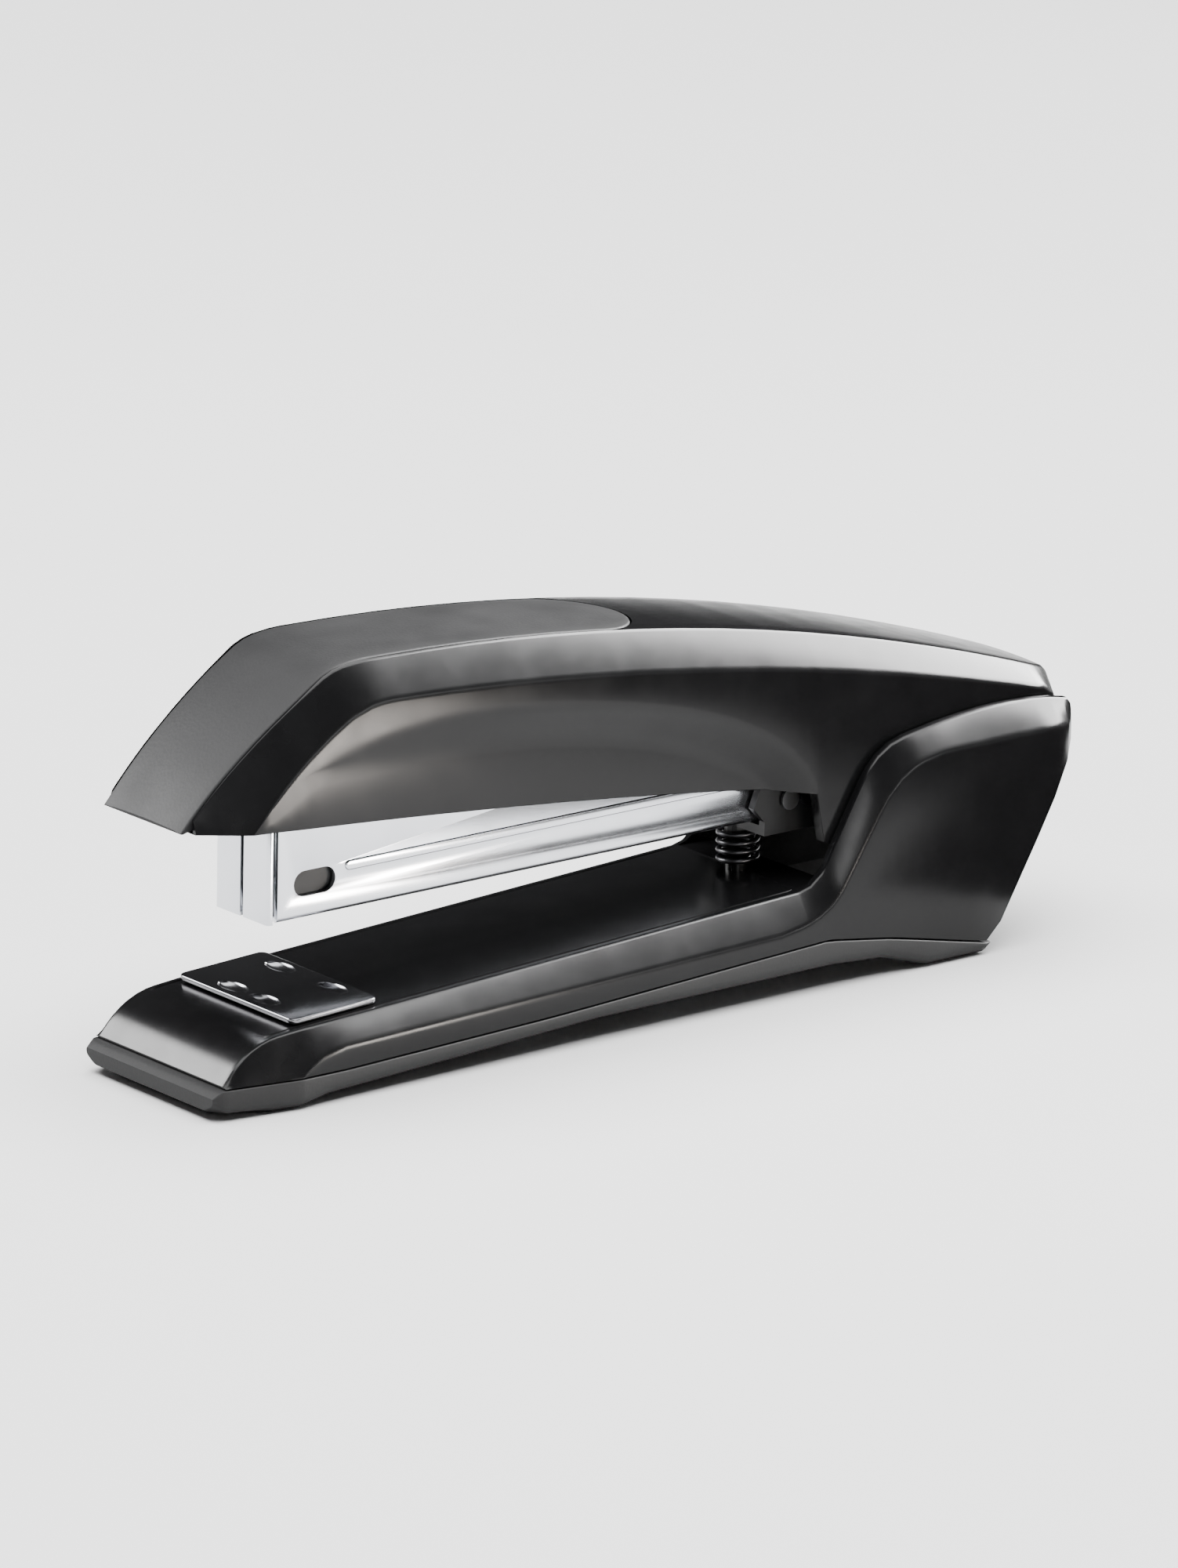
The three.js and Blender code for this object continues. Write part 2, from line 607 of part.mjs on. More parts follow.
const anvil = new THREE.Group();
anvil.position.set(ANVIL.x, 0, topPlane(ANVIL.x));
anvil.rotation.y = -Math.atan(SLOPE);
anvil.add(
  part("anvil_plate", makeAnvilPlate(), brightSteel),
  part("anvil_button", makeAnvilButton(), mouldedBlack),
  part("anvil_clip", makeAnvilClip(), springSteel),
  part("anvil_spring", coil(5.4, 0.4, 3, -6.7, -2.7), springSteel),
);
stapler.add(anvil);

stapler.add(
  part("magazine_channel", makeChannel(), brightSteel),
  part("staple_rail", makeRail(), springSteel),
  part("magazine_carrier", makeCarrier(), mouldedBlack),
  part("pusher_rod", rod("x", ROD.radius, ROD.front, ROD.rear, [0, 0, ROD.z], 12), springSteel),
  part("rod_clip", makeRodClip(), springSteel),
  part("pusher", makePusher(), mouldedBlack),
);
RIVET_X.forEach((x, i) => stapler.add(part(`channel_rivet_${i + 1}`, makeRivet(x), springSteel)));
const pusherCoil = coil(2.1, 0.3, 16, 0, 45.6 - PUSHER.rear);
pusherCoil.rotateY(Math.PI / 2);
const pusherSpring = part("pusher_spring", pusherCoil, springSteel);
pusherSpring.position.set(PUSHER.rear + 0.2, 0, ROD.z);
stapler.add(pusherSpring);

stapler.add(
  part("handle_shell", makeHandleShell(), glossBlack),
  part("grip_pad", makeGripPad(), softGrey),
  part("driver_arm", makeDriverArm(), springSteel),
  makeDriverBlade(),
);
DRIVER_SCREW_X.forEach((x, i) => {
  const screw = part(`driver_screw_${i + 1}`, screwUp(2.6, 1.2, 1.2, 7), springSteel);
  screw.position.set(x, 0, 57.9);
  stapler.add(screw);
});
const handleCoil = coil(HANDLE_SPRING.outer, HANDLE_SPRING.wire, HANDLE_SPRING.turns, 0, 12.6);
const handleSpring = part("handle_spring", handleCoil, springSteel);
handleSpring.position.set(HANDLE_SPRING.x, 0, 52);
stapler.add(handleSpring);

export default stapler;
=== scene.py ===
# %% [markdown]
# # A full-strip desktop stapler
# A long grip arm, a steel staple channel and a long low base all turn on one steel pin at the tail.
# The black mouldings are hollow shells, the channel is folded sheet, and small coil springs hold the three
# apart. Everything here is drawn in millimetres, with X from nose to tail, Y across and Z up, and it rides
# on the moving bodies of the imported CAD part.

# %% Load the frame
import math

import bpy
from mathutils import Matrix, Vector


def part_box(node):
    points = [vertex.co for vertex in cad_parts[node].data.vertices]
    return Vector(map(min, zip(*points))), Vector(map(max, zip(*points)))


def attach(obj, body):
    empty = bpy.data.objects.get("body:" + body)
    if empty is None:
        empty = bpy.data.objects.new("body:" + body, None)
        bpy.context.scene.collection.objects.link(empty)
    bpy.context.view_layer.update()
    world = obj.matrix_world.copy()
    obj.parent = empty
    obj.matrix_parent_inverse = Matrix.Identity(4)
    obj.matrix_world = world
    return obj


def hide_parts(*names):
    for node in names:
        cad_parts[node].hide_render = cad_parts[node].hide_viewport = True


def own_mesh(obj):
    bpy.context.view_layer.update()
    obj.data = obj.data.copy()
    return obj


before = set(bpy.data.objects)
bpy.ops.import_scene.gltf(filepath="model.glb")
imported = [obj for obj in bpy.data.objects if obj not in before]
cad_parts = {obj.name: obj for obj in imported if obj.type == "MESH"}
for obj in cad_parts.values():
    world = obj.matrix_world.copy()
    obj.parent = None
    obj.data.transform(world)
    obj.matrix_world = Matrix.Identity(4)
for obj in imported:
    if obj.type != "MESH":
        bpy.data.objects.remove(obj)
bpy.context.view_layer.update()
MM = 0.001

# %% [markdown]
# ## Driving lines
# The two mouldings are ruled by a few long lines in the side view: where the top runs, where the chamfer
# meets the side, where the lower edge runs. Each line is a chain of straight and curved steps, read as a
# height at any X, so that every section of a moulding is cut from the same lines.

# %% Side-view lines
CURVE_STEPS = 16


def line(start, *steps):
    """A height for any X. A step is (x, z), or (pull x, pull z, x, z) where the line bends."""
    points = [start]
    for step in steps:
        if len(step) == 2:
            points.append(step)
            continue
        begin, pull, end = (Vector(p) for p in (points[-1], step[:2], step[2:]))
        for i in range(1, CURVE_STEPS + 1):
            t = i / CURVE_STEPS
            points.append(tuple(begin * (1 - t) ** 2 + pull * 2 * t * (1 - t) + end * t * t))

    def height(x):
        if x <= points[0][0]:
            return points[0][1]
        for (x0, z0), (x1, z1) in zip(points, points[1:]):
            if x <= x1:
                return z0 if x1 == x0 else z0 + (z1 - z0) * (x - x0) / (x1 - x0)
        return points[-1][1]

    return height


END = 98.3
HINGE_X, HINGE_Z = 68, 26
TOP_X, TOP_Z, TOP_SLOPE = -77.5, 13.3, 0.045


def base_plane(x):
    return TOP_Z + TOP_SLOPE * (x - TOP_X)


handle_top = line(
    (-END, 49.7), (-88, 62, -70, 73), (-66.5, 75.1, -58, 74.8), (18, 74, 95.4, 48.4), (97.8, 47.4, END, 42),
)
handle_side_top = line(
    (-87.1, 49), (-78.5, 59.5, -66, 66.4), (-62.8, 68.3, -56, 68.1), (16, 65.5, 93, 45.9), (END, 41),
)
handle_low = line((-END, 49.6), (-30, 45.2, 38.5, 35), (40.4, 25.8), (60, 18.7), (76, 18.7), (END, 36.8))
handle_edge = line((-END, 11.3), (-70, 12.9), (60, 12.7), (92, 12), (END, 10))
handle_side = line((-END, 11.4), (-87.1, 16.5), (-10, 16.5), (41, 16.15), (90, 16.1), (95, 15), (END, 12.4))
scoop_rim = line((-75, 58), (-58, 64, -36, 62.5), (27, 56, 38.3, 36.6))
scoop_floor = line((-75, 57.5), (-45, 58, -20, 54.7), (18, 49, 31.3, 35.6), (38.3, 34))
scoop_depth = line((-75, 0), (-40, 1.3), (25, 4.7, 31.3, 4), (38.3, 0))
base_top = line(
    (-94, 5.7), (-89.8, 12.1, -82.5, 12.9), (TOP_X, TOP_Z), (33.5, base_plane(33.5)), (38.4, 18.6, 41, 25),
    (47.4, 36), (51, 42, 57, 43), (76, 46.6, 91, 44.8), (95.6, 44), (END, 41),
)
base_side_top = line(
    (-79.2, 5.6), (-75.5, 9.5, -70, 9.7), (27, 11.9), (37, 13, 41, 18), (49, 30.5), (54, 39.3, 64, 39.9),
    (91, 40), (END, 38.6),
)
base_side = line((-94, 18.6), (-79.2, 21), (90, 21), (94.5, 19.8), (97.4, 17.6), (END, 15))
seam = line((-97, 5.6), (-70, 5.4), (-25, 6.5), (38, 9.2), (53, 7), (75, 2.4), (80, 2))
heel_rear = line((75.4, 0), (86.2, 18.6), (97.2, 37.2), (END, 39))
SOLE_NOSE, SOLE_HEEL = -96.4, 76.7
sole_low = line(
    (SOLE_NOSE, 1.7), (-93.4, 0), (-79, 0), (-73, 1.2), (-14, 3.8), (40, 3.9), (52, 3.1), (62, 0), (75.4, 0),
    (SOLE_HEEL, 1.6),
)
sole_side = line((SOLE_NOSE, 18), (-94.5, 18.6), (-79.2, 21), (75.4, 21), (SOLE_HEEL, 20.6))
sole_tuck = line((SOLE_NOSE, 2.4), (-93.4, 6), (-86, 1.6))
print("arm stands", round(handle_top(-60), 1), "mm high at its crest")

# %% [markdown]
# ## Tools
# Each long moulding starts as a flat grid laid over half of it: one column for each place along X, one row
# for each point round the section. Mirroring closes it, and filling the two ends makes it solid. Pockets
# and bores are solids of their own, cut away with a boolean, as an insert forms them in the real mould.

# %% Selecting, applying, cutting
TOUCHING = 0.002


def alone(piece):
    if bpy.context.object and bpy.context.object.mode != "OBJECT":
        bpy.ops.object.mode_set(mode="OBJECT")
    bpy.ops.object.select_all(action="DESELECT")
    piece.select_set(True)
    bpy.context.view_layer.objects.active = piece


def apply_modifiers(piece):
    alone(piece)
    for modifier in list(piece.modifiers):
        bpy.ops.object.modifier_apply(modifier=modifier.name)


def edit_all(piece):
    alone(piece)
    bpy.ops.object.mode_set(mode="EDIT")
    bpy.ops.mesh.select_all(action="SELECT")


def close_up(piece):
    """Join touching points, fill open ends and turn every face outwards."""
    edit_all(piece)
    bpy.ops.mesh.remove_doubles(threshold=TOUCHING * MM)
    bpy.ops.mesh.select_all(action="DESELECT")
    bpy.ops.mesh.select_non_manifold(
        extend=False, use_wire=False, use_multi_face=False, use_non_contiguous=False, use_verts=False,
    )
    bpy.ops.mesh.fill_holes(sides=0)
    bpy.ops.mesh.select_all(action="SELECT")
    bpy.ops.mesh.normals_make_consistent(inside=False)
    bpy.ops.object.mode_set(mode="OBJECT")
    return piece


def combine(piece, tool, how):
    boolean = piece.modifiers.new("combine", "BOOLEAN")
    boolean.operation = how
    boolean.solver = "EXACT"
    boolean.object = tool
    apply_modifiers(piece)
    bpy.data.objects.remove(tool)
    return piece


def cut(piece, *tools):
    for tool in tools:
        combine(piece, tool, "DIFFERENCE")
    return piece


def add(piece, *tools):
    for tool in tools:
        combine(piece, tool, "UNION")
    return piece


def soften(piece, width, segments=2, angle=40):
    """Round the sharp edges by a small radius, as a mould or a tumbling drum leaves them."""
    bevel = piece.modifiers.new("soften", "BEVEL")
    bevel.width = width * MM
    bevel.segments = segments
    bevel.limit_method = "ANGLE"
    bevel.angle_limit = math.radians(angle)
    apply_modifiers(piece)
    return piece


def smooth(piece, angle=32):
    alone(piece)
    bpy.ops.object.shade_smooth_by_angle(angle=math.radians(angle))
    return piece


def settle(piece):
    alone(piece)
    bpy.ops.object.transform_apply(location=True, rotation=True, scale=True)
    return piece


# %% Drawing solids
def rounded(corners, steps=3):
    """A section line. A corner is (y, z) or (y, z, radius); a radius turns it through a small arc."""
    made = []
    for i, corner in enumerate(corners):
        here = Vector(corner[:2])
        if len(corner) == 2:
            made.append(tuple(here))
            continue
        before, after = Vector(corners[i - 1][:2]), Vector(corners[i + 1][:2])
        reach_in = min(corner[2], 0.45 * (before - here).length)
        reach_out = min(corner[2], 0.45 * (after - here).length)
        a = here + (before - here).normalized() * reach_in
        b = here + (after - here).normalized() * reach_out
        for k in range(steps + 1):
            t = k / steps
            made.append(tuple(a * (1 - t) ** 2 + here * 2 * t * (1 - t) + b * t * t))
    return made


def places(low, high, step, *extra):
    """Even places along X, with the corners of the driving lines added."""
    count = max(1, math.ceil((high - low) / step))
    even = [low + (high - low) * i / count for i in range(count + 1)]
    keep = [x for x in even if all(abs(x - e) > step * 0.3 for e in extra)]
    return sorted(set(keep) | {x for x in extra if low <= x <= high} | {low, high})


def body(name, stations, section):
    """A solid whose half section at each X is given from the middle of one face round to the other."""
    rings = [section(x) for x in stations]
    across = len(rings[0]) - 1
    along = len(stations) - 1
    bpy.ops.object.select_all(action="DESELECT")
    bpy.ops.mesh.primitive_grid_add(x_subdivisions=along, y_subdivisions=across, size=2)
    piece = bpy.context.object
    piece.name = name
    for vertex in piece.data.vertices:
        i = round((vertex.co.x + 1) / 2 * along)
        j = round((vertex.co.y + 1) / 2 * across)
        vertex.co = Vector((stations[i], *rings[i][j])) * MM
    mirror = piece.modifiers.new("other half", "MIRROR")
    mirror.use_axis = (False, True, False)
    mirror.merge_threshold = TOUCHING * MM
    apply_modifiers(piece)
    return close_up(piece)


DRAW = {
    "x": lambda a, b, c: (c, a, b),
    "y": lambda a, b, c: (a, c, b),
    "z": lambda a, b, c: (a, b, c),
}


def drawn(name, outline, axis, low, high):
    """A flat outline pulled straight along one axis. Outlines along Y are [x, z], along X are [y, z]."""
    bpy.ops.object.select_all(action="DESELECT")
    bpy.ops.mesh.primitive_circle_add(vertices=len(outline), radius=1, fill_type="NGON")
    piece = bpy.context.object
    piece.name = name
    for vertex, (a, b) in zip(piece.data.vertices, outline):
        vertex.co = Vector(DRAW[axis](a, b, low)) * MM
    edit_all(piece)
    pull = Vector(DRAW[axis](0, 0, high - low)) * MM
    bpy.ops.mesh.extrude_region_move(TRANSFORM_OT_translate={"value": pull})
    bpy.ops.mesh.select_all(action="SELECT")
    bpy.ops.mesh.normals_make_consistent(inside=False)
    bpy.ops.object.mode_set(mode="OBJECT")
    return piece


TURN = {"x": (0, math.pi / 2, 0), "y": (math.pi / 2, 0, 0), "z": (0, 0, 0)}


def bar(name, axis, radius, low, high, at=(0, 0, 0), sides=40):
    """A round bar along an axis, from low to high past the point it stands on."""
    shift = Vector(DRAW[axis](0, 0, (low + high) / 2))
    bpy.ops.object.select_all(action="DESELECT")
    bpy.ops.mesh.primitive_cylinder_add(
        vertices=sides, radius=radius * MM, depth=(high - low) * MM,
        location=(Vector(at) + shift) * MM, rotation=TURN[axis],
    )
    piece = bpy.context.object
    piece.name = name
    return settle(piece)


def arc(cx, cz, radius, first, last, steps=8):
    turns = [math.radians(first + (last - first) * i / steps) for i in range(steps + 1)]
    return [(cx + radius * math.cos(t), cz + radius * math.sin(t)) for t in turns]


def middle(node):
    low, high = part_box(node)
    return (Vector(low) + Vector(high)) / 2 / MM


def stands_for(piece, node, body_name, angle=32):
    smooth(piece, angle)
    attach(piece, body_name)
    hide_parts(node)
    print(piece.name, len(piece.data.polygons), "faces")
    return piece

# %% [markdown]
# ## The grip arm
# The arm is one deep black moulding: a slightly crowned top, a flat chamfer, and sides that are hollowed by
# a long thumb scoop. Its section changes all the way along, so it is laid as a grid over the driving lines,
# and the scoop is drawn into the section itself: that keeps its rim crisp and its floor smooth. The hollow
# inside follows the outside at wall thickness.

# %% Arm outside
CROWN = 0.4
WALL = 2.2
ROOF_UNDER_PAD, ROOF_BEHIND_PAD, PAD_ENDS = 4.6, 2.5, 8
OPEN_BELOW = 10
SCOOP_FRONT, SCOOP_REAR = -75, 38.3


def scoop_at(x):
    """Heights of the scoop's rim and floor line, and its depth. Past its ends they fade out on the side."""
    low, side_top = handle_low(x), max(handle_side_top(x), handle_low(x))
    if x < SCOOP_FRONT:
        return low + 0.76 * (side_top - low), low + 0.72 * (side_top - low), 0
    if x > SCOOP_REAR:
        return low + 0.064 * (side_top - low), low + 0.03 * (side_top - low), 0
    rim, floor, depth = scoop_rim(x), scoop_floor(x), scoop_depth(x)
    if floor < low:
        depth *= max(0.0, rim - low) / (rim - floor)
        floor = low + 0.02
    return rim, floor, depth


def arm_section(x):
    top = handle_top(x)
    low = min(handle_low(x), top)
    side_top = min(max(handle_side_top(x), low), top)
    edge, side = handle_edge(x), handle_side(x)
    rim, floor, depth = scoop_at(x)
    crown = [(edge * s, top + CROWN * (1 - s * s)) for s in (0, 0.25, 0.5, 0.75)]
    return rounded([
        *crown, (edge, top, 0.55), (side, side_top, 0.8), (side, max(rim, low), 1.4),
        (side - depth, max(floor, low), 2.2), (side - depth, low, 0.35), (0, low),
    ])


def arm_hollow_section(x):
    roof = handle_top(x) - (ROOF_UNDER_PAD if x < PAD_ENDS else ROOF_BEHIND_PAD)
    wide = handle_side(x) - WALL
    shoulder = min(handle_side_top(x) - 1.2, roof)
    rim, floor, depth = scoop_at(x)
    return rounded([
        (0, roof), (handle_edge(x) - 1.4, roof, 0.8), (wide, shoulder, 0.8),
        (wide, min(rim + 1.6, shoulder - 0.1), 1),
        (wide - depth, min(floor + 1.6, shoulder - 0.2), 1.5), (wide - depth, OPEN_BELOW), (0, OPEN_BELOW),
    ])


corners = (
    -98, -97, -87.1, -75, -70, -68, -66, -62, -58, 25, 28, 31.3, 36, 38.3, 38.5, 39.4, 40.4, 60, 76, 90, 92, 95,
    95.4, 96.6, 97.4, 97.9,
)
hollow_corners = (-87.1, -75, -70, -66, 7.9, 8.1, 25, 31.3, 36, 38.3, 60, 76, 90)
arm = body("grip_arm", places(-END, END, 3, *corners), arm_section)
hollow = body("arm_hollow", places(-90, 95.6, 4, *hollow_corners), arm_hollow_section)
cut(arm, hollow)
print("arm:", len(arm.data.polygons), "faces")

# %% [markdown]
# A soft pad is let into the arm's top. Its seat is a shallow tongue-shaped recess, a hair larger than the
# pad all round, which leaves the thin dark parting line.

# %% Seat for the grip pad
PAD_STRAIGHT_TO, PAD_HALF, PAD_DEEP, PARTING = -8, 12.2, 2.2, 0.35
THINNEST, SEAT_GAP, ABOVE = 0.001, 0.3, 5
ARM_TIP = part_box("handle_shell")[0].x / MM


def pad_half(x, grow=0.0):
    """Half the tongue's width: straight to the start of its round end, and kept inside the arm's top edge."""
    past = max(0.0, x - PAD_STRAIGHT_TO)
    half = PAD_HALF + grow
    if past >= half:
        return 0.0
    return min(math.sqrt(half * half - past * past), handle_edge(x) - 0.35 + grow)


def tongue_places(grow=0.0):
    straight = places(-END, PAD_STRAIGHT_TO, 3, -98, -96, -94, -92, -90, -70, -68, -66, -62)
    turn = [PAD_STRAIGHT_TO + (PAD_HALF + grow) * math.sin(math.radians(a)) for a in range(6, 91, 6)]
    return straight + turn


def seat_section(x):
    half = handle_side(x) + 1 if x <= ARM_TIP else max(pad_half(x, PARTING), THINNEST)
    top = handle_top(x)
    bottom = top - PAD_DEEP - SEAT_GAP
    return [(0, bottom), (half, bottom), (half, top + ABOVE), (0, top + ABOVE)]


seat_places = sorted([-END - 1, ARM_TIP, ARM_TIP + 0.02, *tongue_places(PARTING)])
seat = body("pad_seat", seat_places, seat_section)
cut(arm, seat)

# %% Knuckles, bosses and the pin's bore
KNUCKLE, PIN_BORE, SPIGOT, SCREW_HOLE, FINE_ROUND = 6, 2.3, 2.4, 1.5, 24
HINGE = (HINGE_X, 0, HINGE_Z)
for side in (-1, 1):
    near, far = sorted((12.3 * side, 14.6 * side))
    add(arm, bar("knuckle", "y", KNUCKLE, near, far, HINGE))
spring_x = middle("handle_spring").x
add(arm, bar("spring_spigot", "z", SPIGOT, 61.5, handle_top(spring_x) - 2, (spring_x, 0, 0), FINE_ROUND))
for x in (middle("driver_screw_1").x, middle("driver_screw_2").x):
    add(arm, bar("screw_boss", "z", 3.2, 60.9, handle_top(x) - 4, (x, 0, 0), FINE_ROUND))
    cut(arm, bar("screw_hole", "z", SCREW_HOLE, 58, 66.5, (x, 0, 0), FINE_ROUND))
cut(arm, bar("pin_bore", "y", PIN_BORE, -20, 20, HINGE))
stands_for(arm, "handle_shell", "handle", 30)

# %% [markdown]
# ## The grip pad
# A strip of soft grey elastomer, moulded over the front of the arm and ending in a round tongue. It is laid
# like the arm but only as deep as its seat, with a small round on its upper edge.

# %% Pad
def pad_section(x):
    half = max(pad_half(x), THINNEST)
    top = handle_top(x)

    def crowned(y):
        return top + CROWN * (1 - (y / handle_edge(x)) ** 2)

    rows = [(half * s, crowned(half * s)) for s in (0, 0.25, 0.5, 0.75)]
    under = max(top - PAD_DEEP, handle_low(x))
    return rounded([*rows, (half, crowned(half), 0.5), (half, under), (0, under)])


pad = body("soft_grip_pad", tongue_places(), pad_section)
stands_for(pad, "grip_pad", "handle", 40)

# %% [markdown]
# ## The base
# The base is the second big moulding. A low tray runs under the magazine, its nose curved down to the sole,
# and at the tail two tall cheeks stand up either side of the hinge. It is laid over its own driving lines,
# hollowed from below, and the well between the cheeks is cut last. A hairline groove follows the tray's rim.

# %% Base outside
EDGE = 17.8
SEAM_GAP, GROOVE = 0.15, 0.25


def base_section(x):
    low = max(seam(x) + SEAM_GAP, heel_rear(x) if x > 76 else 0)
    top = max(base_top(x), low + 0.25)
    side_top = min(max(low if x < -79.2 else base_side_top(x), low), top)
    side = base_side(x)
    edge = min(EDGE, side - 0.2)
    sunk = GROOVE if -84 < x < 33 and top - low > 1 else 0
    return rounded([
        (0, top), (edge - 1.75, top), (edge - 1.65, top - sunk), (edge - 1.3, top - sunk), (edge - 1.2, top),
        (edge, top, 0.5), (side, side_top, 0.9), (side, low, 0.2), (0, low),
    ])


WELL_FRONT, WELL_FLOOR = 42, 10


def base_hollow_section(x):
    raised = 9 if x < WELL_FRONT - 2.2 else 0
    roof = min(base_top(x) - WALL, WELL_FLOOR - WALL + raised)
    shoulder = min(base_side_top(x) - WALL + 0.4, roof)
    inner = base_side(x) - WALL
    return rounded([(0, roof), (EDGE - WALL, roof, 0.5), (inner, shoulder, 0.5), (inner, -5), (0, -5)])


base_corners = (
    -93, -92, -91, -89.5, -88, -86, -84.1, -83.9, -82.5, -79.2, -77.5, -75, -70, 27, 33.1, 33.5, 36, 38.5, 39.7,
    41, 44, 47.4, 49, 51, 54, 57, 64, 75.4, 82, 87, 91, 94.5, 95.6, 96.5, 97.6,
)
tray_corners = (-86, -82.5, -79.2, -76, -70, 27, 33.5, 36, 39.7, 39.9, 57, 64)
base = body("base_moulding", places(-94, END, 4, *base_corners), base_section)
tray_hollow = body("tray_hollow", places(-89, 74, 5, *tray_corners), base_hollow_section)
floor_line = base_plane(33.5)
well = drawn(
    "hinge_well",
    [
        (34, floor_line), (WELL_FRONT, floor_line), (WELL_FRONT + 3, WELL_FLOOR), (110, WELL_FLOOR), (110, 60),
        (34, 60),
    ],
    "y", -16.6, 16.6,
)
cut(base, tray_hollow, well)
return_x = middle("return_spring").x
add(base, bar("spring_spigot", "z", SPIGOT, floor_line - 1, 20.8, (return_x, 0, 0), FINE_ROUND))
screw_places = [middle(f"sole_screw_{i}") for i in (1, 2, 3, 4)]
for place in screw_places:
    spot = (place.x, place.y, 0)
    add(base, bar("screw_boss", "z", 3, 6.4, base_plane(place.x) - 1, spot, FINE_ROUND))
    cut(base, bar("screw_hole", "z", SCREW_HOLE, 0, 12.6, spot, FINE_ROUND))
cut(base, bar("pin_bore", "y", PIN_BORE, -19.9, 19.9, HINGE))
cut(base, bar("stem_bore", "z", 2.9, 5, 20, (-68.6, 0, 0)))
stands_for(base, "base_shell", "base", 30)

# %% [markdown]
# ## The sole
# A matte grey rubbery tray closes the base from below. It touches the table only at the nose and the heel,
# and lifts clear between them. It is laid from its lower line and the seam, then hollowed.

# %% Sole
def sole_section(x):
    low, side = sole_low(x), sole_side(x)
    top = max(low + 0.5, min(seam(x) - SEAM_GAP, 4.2 + (x - SOLE_NOSE) * 0.7))
    tuck = sole_tuck(x)
    foot = low + min(1.4, 0.6 * (top - low))
    return rounded([(0, low), (side - tuck, low, 0.8), (side, foot, 0.8), (side, top, 0.25), (0, top)])


def sole_hollow_section(x):
    low, side = sole_low(x) + 2, sole_side(x)
    return [(0, low), (side - 3.4, low), (side - 2.2, 14), (0, 14)]


sole_corners = (-96, -95.4, -94.5, -93.4, -90, -79.2, -79, -73, -14, 40, 52, 62, 74.2, 75.4)
sole = body("sole_tray", places(SOLE_NOSE, SOLE_HEEL, 4, *sole_corners), sole_section)
cut(sole, body("sole_hollow", places(-90, 72, 6, -79, -73, -14, 40, 52, 62), sole_hollow_section))
cut(sole, bar("button_hole", "z", 8, -2, 5, (-68.4, 0, 0), 64))
for place in screw_places:
    low, spot = sole_low(place.x), (place.x, place.y, 0)
    add(sole, bar("screw_well", "z", 3.8, low + 0.3, 6.1, spot, 32))
    screw_way = bar("screw_way", "z", 1.6, -2, 10, spot, FINE_ROUND)
    cut(sole, screw_way, bar("head_seat", "z", 2.9, -2, low + 1.4, spot, 32))
stands_for(sole, "sole_pad", "base", 40)

# %% [markdown]
# ## The staple channel
# A trough of bright plated sheet. The sides and floor are one fold, and the front of each side is bent
# inwards into a flange, which leaves a narrow slit up the middle. The floor stops short of the flanges, so
# that the blade can push a staple out. A bead is pressed along the side, and a slot near the nose lets a jam
# be cleared.

# %% Channel
channel_low, channel_high = (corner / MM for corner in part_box("magazine_channel"))
FRONT, REAR, FLOOR, RIM = channel_low.x, channel_high.x, channel_low.z, channel_high.z
HALF, SHEET, FLANGE_GAP, FOLDED_AT = 7.4, 0.9, 0.45, 1.2
fold = arc(HALF - 1.2, FLOOR + 1.2, 1.2, 0, -90, 6)
inner_fold = arc(HALF - 1.2, FLOOR + 1.2, 0.3, -90, 0, 4)
half_trough = [(HALF, RIM), *fold]
half_inside = [*inner_fold, (HALF - SHEET, RIM)]
trough_outline = [
    *half_trough, *[(-y, z) for y, z in reversed(half_trough)],
    *[(-y, z) for y, z in reversed(half_inside)], *half_inside,
]
channel = drawn("staple_channel", trough_outline, "x", FRONT + 0.6, REAR)
for side in (-1, 1):
    bend = arc(FRONT + 0.6, HALF - 0.6, 0.6, 90, 180, 5)
    inner_bend = [(FRONT + SHEET, HALF - SHEET)]
    plan = [
        (FRONT + FOLDED_AT, HALF), *bend, (FRONT, FLANGE_GAP), (FRONT + SHEET, FLANGE_GAP), *inner_bend,
        (FRONT + FOLDED_AT, HALF - SHEET),
    ]
    flange = drawn("front_flange", [(x, side * y) for x, y in plan], "z", FLOOR, RIM)
    add(channel, flange)
for side in (-1, 1):
    near, far = sorted((side * 5, side * 9))
    slit = [(FRONT + 1.05, near), (FRONT + 2.05, near), (FRONT + 2.05, far), (FRONT + 1.05, far)]
    cut(channel, drawn("guide_slit", slit, "z", FLOOR - 1, 48.7))
exit_front, exit_rear, inside = FRONT + SHEET, FRONT + 2.6, HALF - SHEET
exit_outline = [(exit_front, -inside), (exit_rear, -inside), (exit_rear, inside), (exit_front, inside)]
cut(channel, drawn("staple_exit", exit_outline, "z", FLOOR - 1, 32))
slot_outline = [*arc(-64.8, 35.1, 2.3, -90, 90, 10), *arc(-69.2, 35.1, 2.3, 90, 270, 10)]
cut(channel, drawn("clearing_slot", slot_outline, "y", -10, 10))
bead_outline = [*arc(25.1, 36.8, 0.9, -90, 90, 8), *arc(-59.6, 36.8, 0.9, 90, 270, 8)]
for side in (-1, 1):
    near, far = sorted((side * 7.2, side * 7.75))
    add(channel, soften(drawn("side_bead", bead_outline, "y", near, far), 0.3, 3, 50))
for place in (middle("channel_rivet_1"), middle("channel_rivet_2")):
    cut(channel, bar("rivet_hole", "y", 1.5, -9, 9, place, FINE_ROUND))
soften(channel, 0.12, 2, 50)
stands_for(channel, "magazine_channel", "magazine", 35)

# %% [markdown]
# ## The anvil
# A small plated plate on a stem. Its top carries two pairs of dished pockets: the front pair turns the legs
# in, and after half a turn the rear pair turns them out. The dishes are cut with a stretched ball.

